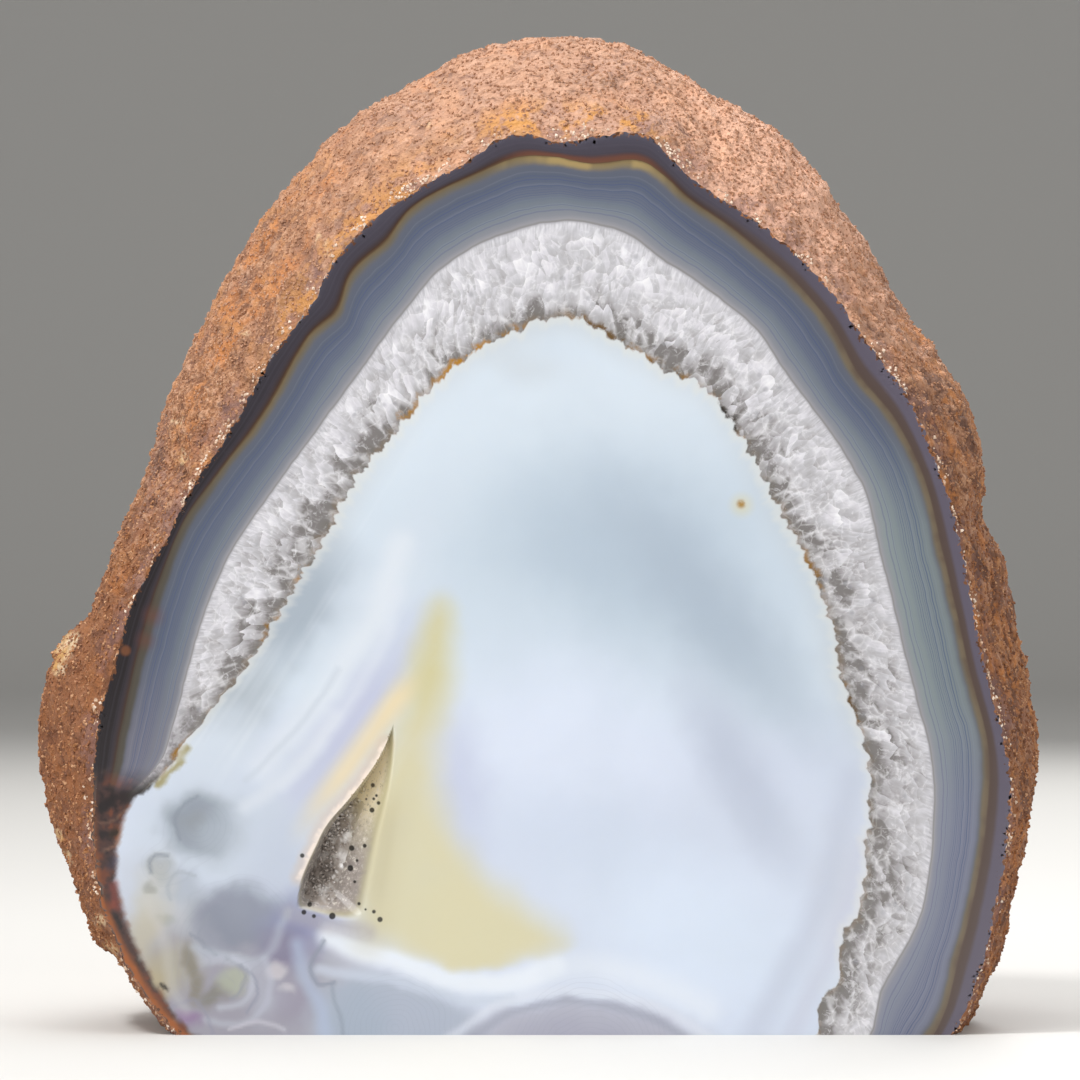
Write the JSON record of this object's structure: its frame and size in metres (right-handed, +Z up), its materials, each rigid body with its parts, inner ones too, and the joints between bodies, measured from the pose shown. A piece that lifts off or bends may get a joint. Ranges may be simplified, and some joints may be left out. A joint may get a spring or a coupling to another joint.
{
  "type": "agate geode half on its sawn base",
  "caption": "Half of a lumpy agate nodule with a polished face, a rough rusty rind, a small crystal-lined hollow and a sawn flat base to stand on.",
  "frame": {"origin": "middle of the sawn base, under the centre of the bounding box", "axes": "+Z up from the base, the polished face looks towards -Y, +X to the right of someone looking at the face"},
  "size_m": [0.1856, 0.0946, 0.1822],
  "materials": {
    "stone": "rusty pitted rind behind a polished banded agate face",
    "druse": "small glassy grey-brown quartz crystals"
  },
  "bodies": {
    "root": {"geode_stone": "stone", "hollow_druse": "druse"}
  },
  "joints": []
}
